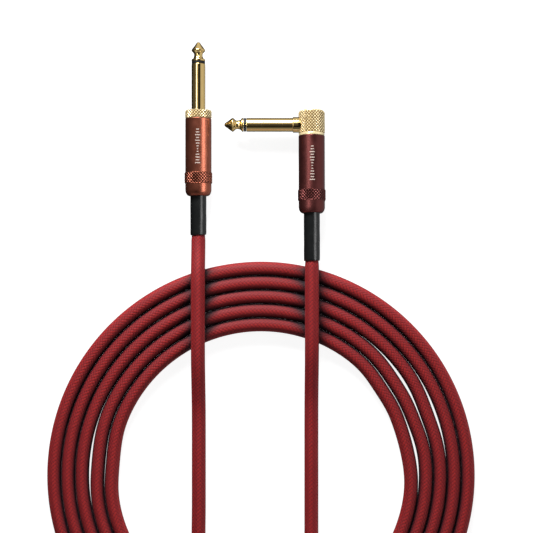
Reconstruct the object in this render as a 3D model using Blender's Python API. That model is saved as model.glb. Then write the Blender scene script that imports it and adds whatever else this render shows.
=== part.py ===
"""Instrument cable: a straight 6.35 mm plug, a right-angle 6.35 mm plug and one cable in a coil.

The world is in metres with +Z up, and everything lies on the plane z = 0. The straight plug's
tip points along +Y and the right-angle plug's tip along -X. The origin is on that plane, in the
middle of the two plugs.

Each plug's turned pieces are made round the Z axis of an empty. A plug has two such axes: the
pin's, with height 0 on the seating face and the tip above it, and the barrel's, with height 0 on
the shoulder that the barrel screws up to and the cable below it.
"""

import math

import bmesh
import bpy
from mathutils import Vector

MM = 0.001

# Clearances
GAP = 0.3 * MM  # between pieces that meet out of sight
SEAM = 0.15 * MM  # between pieces whose joint is seen

# Cable
CABLE_R = 3.25 * MM
JACKET_SQUEEZE = 0.2 * MM  # how much clamp and heat-shrink press the soft jacket in, on the radius
INSULATION_R = 1.2 * MM
CONDUCTOR_R = 0.4 * MM
PIGTAIL_R = 0.5 * MM

# Pin, the same on both plugs
PIN_R = 3.175 * MM
PIN_LENGTH = 31.7 * MM
TIP_LENGTH = 8.9 * MM
TIP_RING_LENGTH = 1.0 * MM
SLEEVE_STEP = 0.575 * MM  # from the sleeve's outside in to its shank
SHANK_WALL = 0.5 * MM
INSULATOR_WALL = 0.6 * MM

# Outline of the tip: distance from its end, and radius as a share of the pin's
TIP_OUTLINE = (
    (0.0 * MM, 0.0),
    (0.2 * MM, 0.2),
    (1.3 * MM, 0.46),
    (3.5 * MM, 0.95),
    (3.8 * MM, 0.99),
    (4.1 * MM, 0.95),
    (5.5 * MM, 0.66),
    (6.2 * MM, 0.62),
    (6.9 * MM, 0.67),
    (7.9 * MM, 0.97),
)

# Stack behind the pin's shank: insulating washer, tip lug and the rod's riveted end
RIVET_LIP = 0.7 * MM  # from the rod out to the riveted end's rim
WASHER_LIP = 0.5 * MM  # from the riveted end's rim out to the washer's
REAR_WASHER_THICK = 0.8 * MM
LUG_THICK = 0.5 * MM
LUG_JOIN = 0.2 * MM  # how far a lug's arm runs into its disc
TIP_LUG_WIDTH = 2.0 * MM
RIVET_THICK = 0.5 * MM

# Ground lug, with its cable clamp
GROUND_WASHER_THICK = 0.6 * MM
GROUND_ARM_ANGLE = 44.0
CLAMP_ANGLE = 300.0
CLAMP_BELOW_JACKET_TOP = 2.0 * MM
CLAMP_LENGTH = 4.0 * MM
CLAMP_BITE = 0.2 * MM  # how far the arm sits outside the clamp's inner face

# Wires and solder inside the barrel; a solder joint's size is from its centre to its sides
TIP_SOLDER_SIZE = (0.85 * MM, 0.9 * MM, 1.3 * MM)
TIP_LUG_PAST_SOLDER = 0.7 * MM
GROUND_SOLDER_SIZE = (0.5 * MM, 0.9 * MM, 1.2 * MM)
GROUND_SOLDER_RISE = 0.8 * MM  # above the insulation's end
BARE_LENGTH = 2.2 * MM
INSULATED_LENGTH = 4.2 * MM

# Barrel, liner and heat-shrink
LINER_WALL = 0.5 * MM
BARREL_WALL = 0.9 * MM
BARREL_LENGTH = 35.8 * MM
BARREL_TAIL_WALL = 3.0 * MM
BARREL_TAIL_ROUND = 3.0 * MM
BAND_TOP = -24.8 * MM
BAND_LENGTH = 5.3 * MM
BAND_RISE = 0.4 * MM
SHRINK_WALL = 0.35 * MM
SHRINK_INSIDE = 5.6 * MM  # how far the heat-shrink reaches up into the barrel
SHRINK_OUT_STRAIGHT = 18.0 * MM
SHRINK_OUT_ANGLED = 22.0 * MM

# Spigot that the barrel screws on, straight plug's collar and right-angle plug's head
SPIGOT_LENGTH = 5.0 * MM
SPIGOT_WALL = 0.9 * MM
COLLAR_LENGTH = 3.7 * MM
COLLAR_RISE = 0.1 * MM  # from the barrel's outside out to the collar's and the head's
COLLAR_STEP_DEPTH = 2.0 * MM
HEAD_LENGTH = 10.6 * MM
HEAD_TOP_WALL = 1.4 * MM
HEAD_CHAMFER = 0.7 * MM
NECK_LENGTH = 1.2 * MM
NECK_INSET = 0.25 * MM
PIN_ABOVE_SHOULDER = 5.2 * MM
STEP_RING_RISE = 0.425 * MM
STEP_RING_LENGTH = 2.6 * MM  # from the seating face to the head's side
EDGE = 0.3 * MM  # small chamfer on turned edges

# Where the two plugs lie
PLUG_SPREAD = 52.5 * MM
STRAIGHT_TIP_Y = 50.8 * MM
ANGLED_CABLE_Y = -50.6 * MM  # centre of the heat-shrink's open end
ANGLED_TILT = 3.0  # degrees that the coil under the cable lifts the right-angle plug's tail

# Coil
COIL_CENTRE = Vector((2.75, -150.6, 0.0)) * MM
COIL_INNER_R = 67.0 * MM
COIL_TURNS = 5
COIL_PITCH = 6.6 * MM

# Free stretches of the cable, from each plug to the coil
STRAIGHT_ROUTE = (
    (-26.25, -39.0, 6.45),
    (-26.25, -44.0, 6.81),
    (-26.25, -49.75, 8.33),
    (-26.25, -55.0, 9.75),
    (-26.25, -60.0, 10.2),
    (-26.25, -74.0, 10.2),
    (-26.25, -88.0, 10.2),
    (-26.25, -98.0, 9.33),
    (-26.25, -108.0, 6.73),
    (-26.25, -118.0, 4.12),
    (-26.25, -128.0, 3.3),
    (-26.25, -146.0, 3.3),
    (-26.25, -165.0, 3.3),
    (-26.25, -183.4, 3.3),
    (-24.3, -194.45, 3.3),
    (-18.7, -204.15, 3.3),
    (-10.1, -211.35, 3.3),
    (-6.05, -213.35, 3.3),
)
ANGLED_ROUTE = (
    (26.25, -50.9, 9.79),
    (26.25, -55.5, 10.02),
    (26.25, -61.0, 10.18),
    (26.25, -72.0, 10.2),
    (26.25, -84.0, 10.2),
    (26.25, -94.5, 9.33),
    (26.25, -104.5, 6.73),
    (26.25, -114.5, 4.12),
    (26.25, -125.0, 3.3),
    (26.25, -142.0, 3.3),
    (26.25, -158.0, 3.3),
    (26.25, -172.0, 3.3),
    (26.25, -182.0, 4.12),
    (26.25, -192.0, 6.73),
    (26.25, -202.0, 9.33),
    (25.0, -212.0, 10.2),
    (20.6, -222.9, 10.2),
    (12.3, -233.1, 10.2),
    (1.25, -240.3, 10.2),
    (-11.5, -243.7, 10.2),
    (-23.2, -243.3, 10.2),
    (-30.3, -241.4, 10.2),
)
ROUTE_STEP = 10.0 * MM
ROUTE_STUB = 1.0 * MM  # short first and last stretch, which keeps the cable's cut ends square

# Finish
ROUND = 32  # facets round the pieces that are seen
FINE = 16  # facets round the small pieces inside
ARM_FACETS = 4
CLAMP_FACETS = 26
COIL_FACETS = 80
CABLE_ROUNDING = 4
TAIL_ANGLES = (0, 22, 45, 67, 90)  # round the barrel's tail
ROUTE_SAMPLES = 20  # between two points of a route

# Fits, from the cable out to the barrel and from the pin in to its rod
JACKET_R = CABLE_R - JACKET_SQUEEZE
CLAMP_IN_R = JACKET_R + GAP
ARM_IN_R = CLAMP_IN_R + CLAMP_BITE
ARM_OUT_R = ARM_IN_R + LUG_THICK
LINER_IN_R = ARM_OUT_R + GAP
LINER_OUT_R = LINER_IN_R + LINER_WALL
BORE_R = LINER_OUT_R + GAP
BARREL_R = BORE_R + BARREL_WALL
BAND_R = BARREL_R + BAND_RISE
COLLAR_R = BARREL_R + COLLAR_RISE
SPIGOT_R = BORE_R - GAP
CAVITY_R = SPIGOT_R - SPIGOT_WALL
SHRINK_IN_R = JACKET_R + GAP
SHRINK_OUT_R = SHRINK_IN_R + SHRINK_WALL
TAIL_HOLE_R = SHRINK_OUT_R + GAP
SHANK_R = PIN_R - SLEEVE_STEP
SLEEVE_BORE_R = SHANK_R - SHANK_WALL
INSULATOR_R = SLEEVE_BORE_R - GAP
ROD_R = INSULATOR_R - INSULATOR_WALL - GAP
RIVET_R = ROD_R + RIVET_LIP
REAR_WASHER_R = RIVET_R + WASHER_LIP
TIP_LUG_R = RIVET_R + GAP + LUG_JOIN
SHANK_HOLE_R = SHANK_R + GAP
FLANGE_R = ARM_IN_R - GAP
STEP_RING_R = PIN_R + STEP_RING_RISE

# Heights on the barrel's axis, from the spigot down
BARREL_END = -SEAM - BARREL_LENGTH
SPIGOT_END = -SPIGOT_LENGTH
FLANGE_TOP = SPIGOT_END - GAP - GROUND_WASHER_THICK - GAP
FLANGE_END = FLANGE_TOP - LUG_THICK
RIVET_END = FLANGE_END - GAP - REAR_WASHER_THICK - GAP - LUG_THICK - GAP - RIVET_THICK
TIP_SOLDER_Z = RIVET_END - GAP - TIP_SOLDER_SIZE[2]
WIRE_TOP = TIP_SOLDER_Z - TIP_SOLDER_SIZE[2] - GAP
TIP_LUG_END = TIP_SOLDER_Z - TIP_SOLDER_SIZE[2] - TIP_LUG_PAST_SOLDER
INSULATION_TOP = WIRE_TOP - BARE_LENGTH
GROUND_SOLDER_Z = INSULATION_TOP + GROUND_SOLDER_RISE
JACKET_TOP = INSULATION_TOP - INSULATED_LENGTH
CLAMP_TOP = JACKET_TOP - CLAMP_BELOW_JACKET_TOP

# Distances from the right-angle plug's barrel axis, across its head
PIN_FROM_AXIS = COLLAR_R + STEP_RING_LENGTH  # to the pin's seating face
SPOT_FACE_X = math.sqrt(COLLAR_R**2 - (STEP_RING_R + SEAM) ** 2)
REAR_WASHER_X = math.sqrt((CAVITY_R - GAP) ** 2 - REAR_WASHER_R**2)


def material(name, colour, roughness, metallic):
    """A Principled BSDF material."""
    made = bpy.data.materials.new(name)
    made.use_nodes = True
    shader = made.node_tree.nodes["Principled BSDF"]
    shader.inputs["Base Color"].default_value = (*colour, 1.0)
    shader.inputs["Roughness"].default_value = roughness
    shader.inputs["Metallic"].default_value = metallic
    made.diffuse_color = (*colour, 1.0)
    return made


def clear_scene():
    """Removes the objects that Blender starts with."""
    for thing in list(bpy.data.objects):
        bpy.data.objects.remove(thing, do_unlink=True)


def frame(name, parent=None, place=(0.0, 0.0, 0.0), turn=(0.0, 0.0, 0.0)):
    """An empty whose Z axis pieces are turned round."""
    empty = bpy.data.objects.new(name, None)
    bpy.context.scene.collection.objects.link(empty)
    empty.parent = parent
    empty.location = place
    empty.rotation_euler = [math.radians(angle) for angle in turn]
    return empty


def add(name, bm, look, parent):
    """Links a finished bmesh as a named object."""
    bmesh.ops.remove_doubles(bm, verts=bm.verts, dist=0.001 * MM)
    bmesh.ops.recalc_face_normals(bm, faces=bm.faces)
    mesh = bpy.data.meshes.new(name)
    bm.to_mesh(mesh)
    bm.free()
    mesh.shade_smooth()
    mesh.set_sharp_from_angle(angle=math.radians(30))
    made = bpy.data.objects.new(name, mesh)
    bpy.context.scene.collection.objects.link(made)
    made.parent = parent
    if look:
        mesh.materials.append(look)
    return made


def turned(name, outline, look, parent, facets=ROUND, sweep=360.0, middle=0.0):
    """A solid turned round Z from an outline of (radius, height) points.

    An outline that starts and ends on the axis is left open there. A sweep under a full turn is
    centred on the angle middle, from +X towards +Y, and gets flat ends.
    """
    start = math.radians(middle - sweep / 2)
    bm = bmesh.new()
    first = [bm.verts.new((r * math.cos(start), r * math.sin(start), z)) for r, z in outline]
    edges = [bm.edges.new(pair) for pair in zip(first, first[1:])]
    if outline[0][0] > 0:
        edges.append(bm.edges.new((first[-1], first[0])))
    part_turn = sweep < 360.0
    if part_turn:
        bm.faces.new(first)
    spun = bmesh.ops.spin(
        bm, geom=edges, cent=(0, 0, 0), axis=(0, 0, 1), angle=math.radians(sweep), steps=facets
    )
    if part_turn:
        last = [item for item in spun["geom_last"] if isinstance(item, bmesh.types.BMVert)]
        bmesh.ops.contextual_create(bm, geom=last + edges_between(last))
    return add(name, bm, look, parent)


def edges_between(verts):
    """The edges whose two ends are both among these vertices."""
    inside = set(verts)
    return list({e for v in verts for e in v.link_edges if e.other_vert(v) in inside})


def tube(name, radius_in, radius_out, top, bottom, look, parent, facets=ROUND):
    """A straight tube."""
    outline = ((radius_in, top), (radius_out, top), (radius_out, bottom), (radius_in, bottom))
    return turned(name, outline, look, parent, facets)


def rod(name, radius, top, bottom, look, parent, facets=FINE):
    """A straight round rod."""
    outline = ((0, top), (radius, top), (radius, bottom), (0, bottom))
    return turned(name, outline, look, parent, facets)


def block(name, low, high, look, parent):
    """A rectangular block between two corners."""
    bm = bmesh.new()
    bmesh.ops.create_cube(bm, size=1.0)
    size = Vector(high) - Vector(low)
    bmesh.ops.scale(bm, vec=size, verts=bm.verts)
    bmesh.ops.translate(bm, vec=Vector(low) + size / 2, verts=bm.verts)
    return add(name, bm, look, parent)


def bead(name, centre, half_size, look, parent):
    """A rounded bead of solder."""
    bm = bmesh.new()
    bmesh.ops.create_uvsphere(bm, u_segments=12, v_segments=8, radius=1.0)
    bmesh.ops.scale(bm, vec=half_size, verts=bm.verts)
    bmesh.ops.translate(bm, vec=centre, verts=bm.verts)
    return add(name, bm, look, parent)


def combine(target, other, operation):
    """Joins or cuts a piece with another object, which is then only a helper."""
    other.hide_render = True
    other.display_type = "WIRE"
    modifier = target.modifiers.new(operation.lower(), "BOOLEAN")
    modifier.operation = operation
    modifier.object = other
    modifier.solver = "EXACT"


def wire(name, points, radius, look, parent=None, resolution=2):
    """A round wire or cord along a list of points, with 4 x (resolution + 1) facets round it."""
    curve = bpy.data.curves.new(name, "CURVE")
    curve.dimensions = "3D"
    curve.bevel_depth = radius
    curve.bevel_resolution = resolution
    curve.use_fill_caps = True
    spline = curve.splines.new("POLY")
    spline.points.add(len(points) - 1)
    for slot, point in zip(spline.points, points):
        slot.co = (*point, 1.0)
    curve.materials.append(look)
    made = bpy.data.objects.new(name, curve)
    bpy.context.scene.collection.objects.link(made)
    made.parent = parent
    return made


def smooth_route(route, step):
    """Points a step apart on the smooth curve through a route's points, given in millimetres."""
    knots = [Vector(point) * MM for point in route]
    knots = [2 * knots[0] - knots[1], *knots, 2 * knots[-1] - knots[-2]]
    dense = []
    for before, start, end, after in zip(knots, knots[1:], knots[2:], knots[3:]):
        for i in range(ROUTE_SAMPLES):
            t = i / ROUTE_SAMPLES
            blend = (
                2 * start
                + (end - before) * t
                + (2 * before - 5 * start + 4 * end - after) * t**2
                + (3 * start - before - 3 * end + after) * t**3
            )
            dense.append(blend / 2)
    dense.append(knots[-2])
    lengths = [0.0]
    for a, b in zip(dense, dense[1:]):
        lengths.append(lengths[-1] + (b - a).length)
    count = max(2, round(lengths[-1] / step))
    inner = [lengths[-1] * i / count for i in range(1, count)]
    wanted = [0.0, ROUTE_STUB, *inner, lengths[-1] - ROUTE_STUB, lengths[-1]]
    return [point_at(dense, lengths, distance) for distance in wanted]


def point_at(points, lengths, distance):
    """The point at a distance along a line of points."""
    for i in range(1, len(points)):
        if lengths[i] >= distance - 1e-9:
            share = (distance - lengths[i - 1]) / (lengths[i] - lengths[i - 1])
            return points[i - 1].lerp(points[i], share)
    return points[-1]


def pin_pieces(prefix, pin, sleeve_rear, shank_end, looks):
    """Tip, ring, inner insulator, sleeve and rear washer, round the pin's axis.

    sleeve_rear is the sleeve's outline from its seat to the end of its shank.
    """
    shoulder = PIN_LENGTH - TIP_LENGTH
    ring_bottom = shoulder - SEAM - TIP_RING_LENGTH
    sleeve_top = ring_bottom - SEAM
    washer_top = shank_end - GAP
    lug_top = washer_top - REAR_WASHER_THICK - GAP
    rivet_top = lug_top - LUG_THICK - GAP
    rivet_bottom = rivet_top - RIVET_THICK

    head = [(PIN_R * share, PIN_LENGTH - distance) for distance, share in TIP_OUTLINE]
    rim = head[-1][0]
    rear = [
        (rim, shoulder),
        (ROD_R, shoulder),
        (ROD_R, rivet_top),
        (RIVET_R, rivet_top),
        (RIVET_R, rivet_bottom),
        (0, rivet_bottom),
    ]
    turned(f"{prefix}_tip_contact", head + rear, looks["gold"], pin)

    bore = ROD_R + GAP
    tube(f"{prefix}_tip_ring", bore, rim, shoulder - SEAM, ring_bottom, looks["black"], pin)
    tube(
        f"{prefix}_inner_insulator", bore, INSULATOR_R, sleeve_top, shank_end, looks["ivory"], pin,
        FINE,
    )
    sleeve = [
        (SLEEVE_BORE_R, sleeve_top),
        (PIN_R - EDGE / 2, sleeve_top),
        (PIN_R, sleeve_top - EDGE / 2),
        *sleeve_rear,
        (SLEEVE_BORE_R, shank_end),
    ]
    turned(f"{prefix}_sleeve", sleeve, looks["gold"], pin)
    tube(
        f"{prefix}_rear_insulator", bore, REAR_WASHER_R, washer_top, washer_top - REAR_WASHER_THICK,
        looks["ivory"], pin, FINE,
    )
    return lug_top


def spigot_outline(inner_r):
    """Outline of the spigot that the barrel screws on, from the shoulder to its end."""
    return [
        (SPIGOT_R, 0),
        (SPIGOT_R, SPIGOT_END + EDGE),
        (SPIGOT_R - EDGE, SPIGOT_END),
        (inner_r, SPIGOT_END),
    ]


def collar(barrel_axis, looks):
    """Knurled collar of the straight plug, stepped inside to seat the sleeve."""
    top = COLLAR_LENGTH
    step = top - COLLAR_STEP_DEPTH - SEAM
    outline = [
        (PIN_R + SEAM, top),
        (COLLAR_R - EDGE, top),
        (COLLAR_R, top - EDGE),
        (COLLAR_R, EDGE),
        (COLLAR_R - EDGE, 0),
        *spigot_outline(SHANK_HOLE_R),
        (SHANK_HOLE_R, step),
        (PIN_R + SEAM, step),
    ]
    turned("straight_collar", outline, looks["gold"], barrel_axis)


def head(barrel_axis, looks):
    """Hollow knurled head of the right-angle plug, with a seat in its side for the pin."""
    top = NECK_LENGTH + HEAD_LENGTH
    neck_r = COLLAR_R - NECK_INSET
    outline = [
        (0, top),
        (COLLAR_R - HEAD_CHAMFER, top),
        (COLLAR_R - HEAD_CHAMFER / 4, top - HEAD_CHAMFER / 3),
        (COLLAR_R, top - HEAD_CHAMFER),
        (COLLAR_R, NECK_LENGTH + EDGE),
        (COLLAR_R - EDGE, NECK_LENGTH),
        (neck_r, NECK_LENGTH),
        (neck_r, 0),
        *spigot_outline(CAVITY_R),
        (CAVITY_R, top - HEAD_TOP_WALL),
        (0, top - HEAD_TOP_WALL),
    ]
    body = turned("angled_head", outline, looks["gold"], barrel_axis)
    side = frame(
        "angled_side_axis", barrel_axis, place=(0, 0, PIN_ABOVE_SHOULDER), turn=(0, -90, 0)
    )
    outside = 2 * COLLAR_R
    seat = rod("cut_seat", STEP_RING_R + SEAM, outside, SPOT_FACE_X, None, side, ROUND)
    hole = rod("cut_shank_hole", SHANK_R + SEAM, outside, CAVITY_R / 2, None, side, ROUND)
    combine(body, seat, "DIFFERENCE")
    combine(body, hole, "DIFFERENCE")


def ground_lug(prefix, barrel_axis, hole_r, looks):
    """Washer against the spigot, arm along the +X side and clamp round the jacket."""
    top = SPIGOT_END - GAP
    bottom = CLAMP_TOP - CLAMP_LENGTH
    lug = tube(
        f"{prefix}_ground_lug", hole_r, ARM_OUT_R, top, top - GROUND_WASHER_THICK, looks["tin"],
        barrel_axis,
    )
    arm_outline = ((ARM_IN_R, top), (ARM_OUT_R, top), (ARM_OUT_R, bottom), (ARM_IN_R, bottom))
    arm = turned(
        f"join_{prefix}_arm", arm_outline, None, barrel_axis, facets=ARM_FACETS, sweep=GROUND_ARM_ANGLE
    )
    clamp_out_r = CLAMP_IN_R + LUG_THICK
    clamp_outline = (
        (CLAMP_IN_R, CLAMP_TOP),
        (clamp_out_r, CLAMP_TOP),
        (clamp_out_r, bottom - LUG_THICK),
        (CLAMP_IN_R, bottom - LUG_THICK),
    )
    clamp = turned(
        f"join_{prefix}_clamp", clamp_outline, None, barrel_axis, facets=CLAMP_FACETS, sweep=CLAMP_ANGLE
    )
    combine(lug, arm, "UNION")
    combine(lug, clamp, "UNION")


def straight_tip_lug(pin, lug_top, looks):
    """Disc on the rod, with its arm bent back along the -X side. Returns the arm's inner face."""
    disc = tube(
        "straight_tip_lug", ROD_R + GAP, TIP_LUG_R, lug_top, lug_top - LUG_THICK, looks["tin"], pin,
        FINE,
    )
    inner_x = -TIP_LUG_R + LUG_JOIN
    half = TIP_LUG_WIDTH / 2
    end = TIP_LUG_END - COLLAR_LENGTH
    arm = block(
        "join_straight_tip_arm", (inner_x - LUG_THICK, -half, end), (inner_x, half, lug_top), None, pin
    )
    combine(disc, arm, "UNION")
    return inner_x


def angled_tip_lug(pin, barrel_axis, lug_top, looks):
    """Disc on the rod, with its arm straight down the head's middle. Returns the arm's inner face."""
    disc = tube(
        "angled_tip_lug", ROD_R + GAP, TIP_LUG_R, lug_top, lug_top - LUG_THICK, looks["tin"], pin, FINE
    )
    outer_x = -PIN_FROM_AXIS - lug_top
    inner_x = outer_x + LUG_THICK
    half = TIP_LUG_WIDTH / 2
    below_rod = PIN_ABOVE_SHOULDER - (ROD_R + TIP_LUG_R) / 2 - GAP / 2
    arm = block(
        "join_angled_tip_arm", (outer_x, -half, TIP_LUG_END), (inner_x, half, below_rod), None,
        barrel_axis,
    )
    combine(disc, arm, "UNION")
    return inner_x


def wiring(prefix, barrel_axis, tip_arm_x, shrink_end, looks):
    """Conductor, insulation, shield pigtail, two solder joints and the jacketed cable end."""
    wire_bottom = JACKET_TOP + GAP
    tip_x = tip_arm_x + GAP + TIP_SOLDER_SIZE[0]
    bead(
        f"{prefix}_tip_solder", (tip_x, 0, TIP_SOLDER_Z), TIP_SOLDER_SIZE, looks["solder"], barrel_axis
    )
    conductor = (
        (0, 0, wire_bottom),
        (0, 0, INSULATION_TOP + CONDUCTOR_R),
        (tip_x, 0, WIRE_TOP - CONDUCTOR_R),
        (tip_x, 0, WIRE_TOP),
    )
    wire(f"{prefix}_centre_conductor", conductor, CONDUCTOR_R, looks["copper"], barrel_axis)
    tube(
        f"{prefix}_conductor_insulation", CONDUCTOR_R + SEAM, INSULATION_R, INSULATION_TOP, wire_bottom,
        looks["ivory"], barrel_axis, FINE,
    )
    ground_x = ARM_IN_R - GAP - GROUND_SOLDER_SIZE[0]
    bead(
        f"{prefix}_ground_solder", (ground_x, 0, GROUND_SOLDER_Z), GROUND_SOLDER_SIZE,
        looks["solder"], barrel_axis,
    )
    pigtail_top = GROUND_SOLDER_Z - GROUND_SOLDER_SIZE[2] - GAP
    pigtail_x = INSULATION_R + GAP + PIGTAIL_R
    bend = (pigtail_top + wire_bottom) / 2
    pigtail = (
        (pigtail_x, 0, wire_bottom),
        (pigtail_x, 0, bend - PIGTAIL_R),
        (ground_x, 0, bend + PIGTAIL_R),
        (ground_x, 0, pigtail_top),
    )
    wire(f"{prefix}_shield_pigtail", pigtail, PIGTAIL_R, looks["copper"], barrel_axis)
    rod(f"{prefix}_jacket_end", JACKET_R, JACKET_TOP, shrink_end, looks["cable"], barrel_axis, ROUND)


def barrel(prefix, barrel_axis, look):
    """Barrel with its raised grip band, rounded tail and the hole that the cable leaves by."""
    front = -SEAM
    band_top = front + BAND_TOP
    band_bottom = band_top - BAND_LENGTH
    bore_end = BARREL_END + BARREL_TAIL_WALL
    round_r = BARREL_R - TAIL_HOLE_R - SEAM
    tail = []
    for degrees in TAIL_ANGLES:
        angle = math.radians(degrees)
        radius = BARREL_R - round_r * (1 - math.cos(angle))
        tail.append((radius, BARREL_END + BARREL_TAIL_ROUND * (1 - math.sin(angle))))
    outline = [
        (BORE_R, front),
        (BARREL_R - EDGE / 2, front),
        (BARREL_R, front - EDGE / 2),
        (BARREL_R, band_top),
        (BAND_R, band_top - EDGE),
        (BAND_R, band_bottom + EDGE),
        (BARREL_R, band_bottom),
        *tail,
        (TAIL_HOLE_R, BARREL_END),
        (TAIL_HOLE_R, bore_end),
        (BORE_R, bore_end),
    ]
    turned(f"{prefix}_barrel", outline, look, barrel_axis)


def barrel_pieces(prefix, barrel_axis, tip_arm_x, ground_hole_r, shrink_out, barrel_look, looks):
    """Everything behind the shoulder, the same in both plugs but for the ground lug's hole."""
    shrink_end = BARREL_END - shrink_out
    ground_lug(prefix, barrel_axis, ground_hole_r, looks)
    wiring(prefix, barrel_axis, tip_arm_x, shrink_end, looks)
    liner_end = BARREL_END + BARREL_TAIL_WALL + GAP
    tube(
        f"{prefix}_liner", LINER_IN_R, LINER_OUT_R, SPIGOT_END - GAP, liner_end, looks["liner"],
        barrel_axis,
    )
    barrel(prefix, barrel_axis, barrel_look)
    shrink_top = BARREL_END + SHRINK_INSIDE
    tube(
        f"{prefix}_heat_shrink", SHRINK_IN_R, SHRINK_OUT_R, shrink_top, shrink_end, looks["shrink"],
        barrel_axis,
    )


def straight_plug(looks):
    """Straight plug, lying on its grip band with the tip towards +Y."""
    shoulder_y = STRAIGHT_TIP_Y - PIN_LENGTH - COLLAR_LENGTH
    place = (-PLUG_SPREAD / 2, shoulder_y, BAND_R)
    barrel_axis = frame("straight_barrel_axis", place=place, turn=(-90, 0, 0))
    pin = frame("straight_pin_axis", barrel_axis, place=(0, 0, COLLAR_LENGTH))
    flange_top = FLANGE_TOP - COLLAR_LENGTH
    shank_end = FLANGE_END - COLLAR_LENGTH
    sleeve_rear = [
        (PIN_R, -COLLAR_STEP_DEPTH),
        (SHANK_R, -COLLAR_STEP_DEPTH),
        (SHANK_R, flange_top),
        (FLANGE_R, flange_top),
        (FLANGE_R, shank_end),
    ]
    lug_top = pin_pieces("straight", pin, sleeve_rear, shank_end, looks)
    collar(barrel_axis, looks)
    tip_arm_x = straight_tip_lug(pin, lug_top, looks)
    barrel_pieces(
        "straight", barrel_axis, tip_arm_x, SHANK_HOLE_R, SHRINK_OUT_STRAIGHT, looks["copper_barrel"],
        looks,
    )


def angled_plug(looks):
    """Right-angle plug, its head on the ground and its tail lifted by the cable."""
    tilt = math.radians(ANGLED_TILT)
    head_top = NECK_LENGTH + HEAD_LENGTH - HEAD_CHAMFER
    shoulder_z = COLLAR_R * math.cos(tilt) + head_top * math.sin(tilt)
    shrink_end = BARREL_END - SHRINK_OUT_ANGLED
    shoulder_y = ANGLED_CABLE_Y - shrink_end * math.cos(tilt)
    barrel_axis = frame(
        "angled_barrel_axis",
        place=(PLUG_SPREAD / 2, shoulder_y, shoulder_z),
        turn=(-90 - ANGLED_TILT, 0, 0),
    )
    pin = frame(
        "angled_pin_axis", barrel_axis, place=(-PIN_FROM_AXIS, 0, PIN_ABOVE_SHOULDER), turn=(0, -90, 0)
    )
    ring_bottom = SPOT_FACE_X + SEAM - PIN_FROM_AXIS
    shank_end = REAR_WASHER_X + GAP - PIN_FROM_AXIS
    sleeve_rear = [
        (PIN_R, 0),
        (STEP_RING_R, 0),
        (STEP_RING_R, ring_bottom),
        (SHANK_R, ring_bottom),
        (SHANK_R, shank_end),
    ]
    lug_top = pin_pieces("angled", pin, sleeve_rear, shank_end, looks)
    head(barrel_axis, looks)
    tip_arm_x = angled_tip_lug(pin, barrel_axis, lug_top, looks)
    arm_hole_r = math.hypot(tip_arm_x - LUG_THICK, TIP_LUG_WIDTH / 2) + GAP
    barrel_pieces(
        "angled", barrel_axis, tip_arm_x, arm_hole_r, SHRINK_OUT_ANGLED, looks["maroon_barrel"], looks
    )


def coil(looks):
    """The outer shape of the coil's turns, as one flat ring with round sides."""
    outer_r = COIL_INNER_R + (COIL_TURNS - 1) * COIL_PITCH + 2 * CABLE_R
    outline = []
    for centre_r, first in ((outer_r - CABLE_R, -90), (COIL_INNER_R + CABLE_R, 90)):
        for degrees in range(first, first + 181, 30):
            angle = math.radians(degrees)
            outline.append((centre_r + CABLE_R * math.cos(angle), CABLE_R + CABLE_R * math.sin(angle)))
    centre = frame("coil_axis", place=COIL_CENTRE)
    turned("cable_coil", outline, looks["cable"], centre, COIL_FACETS)


def main():
    clear_scene()
    looks = {
        "gold": material("gold_plate", (0.78, 0.57, 0.22), 0.15, 1.0),
        "black": material("black_plastic", (0.02, 0.02, 0.02), 0.35, 0.0),
        "ivory": material("ivory_plastic", (0.75, 0.72, 0.62), 0.5, 0.0),
        "tin": material("tinned_brass", (0.62, 0.6, 0.55), 0.35, 1.0),
        "solder": material("solder", (0.6, 0.61, 0.63), 0.3, 1.0),
        "copper": material("bare_copper", (0.8, 0.42, 0.26), 0.35, 1.0),
        "liner": material("liner_film", (0.12, 0.12, 0.13), 0.5, 0.0),
        "copper_barrel": material("copper_anodised", (0.42, 0.15, 0.08), 0.35, 1.0),
        "maroon_barrel": material("maroon_anodised", (0.22, 0.06, 0.05), 0.38, 1.0),
        "shrink": material("heat_shrink", (0.015, 0.016, 0.016), 0.4, 0.0),
        "cable": material("red_braid", (0.35, 0.03, 0.035), 0.75, 0.0),
    }
    straight_plug(looks)
    angled_plug(looks)
    for name, route in (("cable_run_straight", STRAIGHT_ROUTE), ("cable_run_angled", ANGLED_ROUTE)):
        wire(name, smooth_route(route, ROUTE_STEP), CABLE_R, looks["cable"], resolution=CABLE_ROUNDING)
    coil(looks)


main()
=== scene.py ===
"""Instrument cable with a straight plug and a right-angle plug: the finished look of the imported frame.

The frame is in metres, +Z up, and lies on the plane z = 0. Sizes are in millimetres, unless a
comment says otherwise. Each plug's turned pieces are made round the axis of its barrel or its pin.
On a barrel's axis, height 0 is the shoulder that the barrel screws up to, with the tip above it and
the cable below it. On a pin's axis, height 0 is the seating face.
"""

import math

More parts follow.
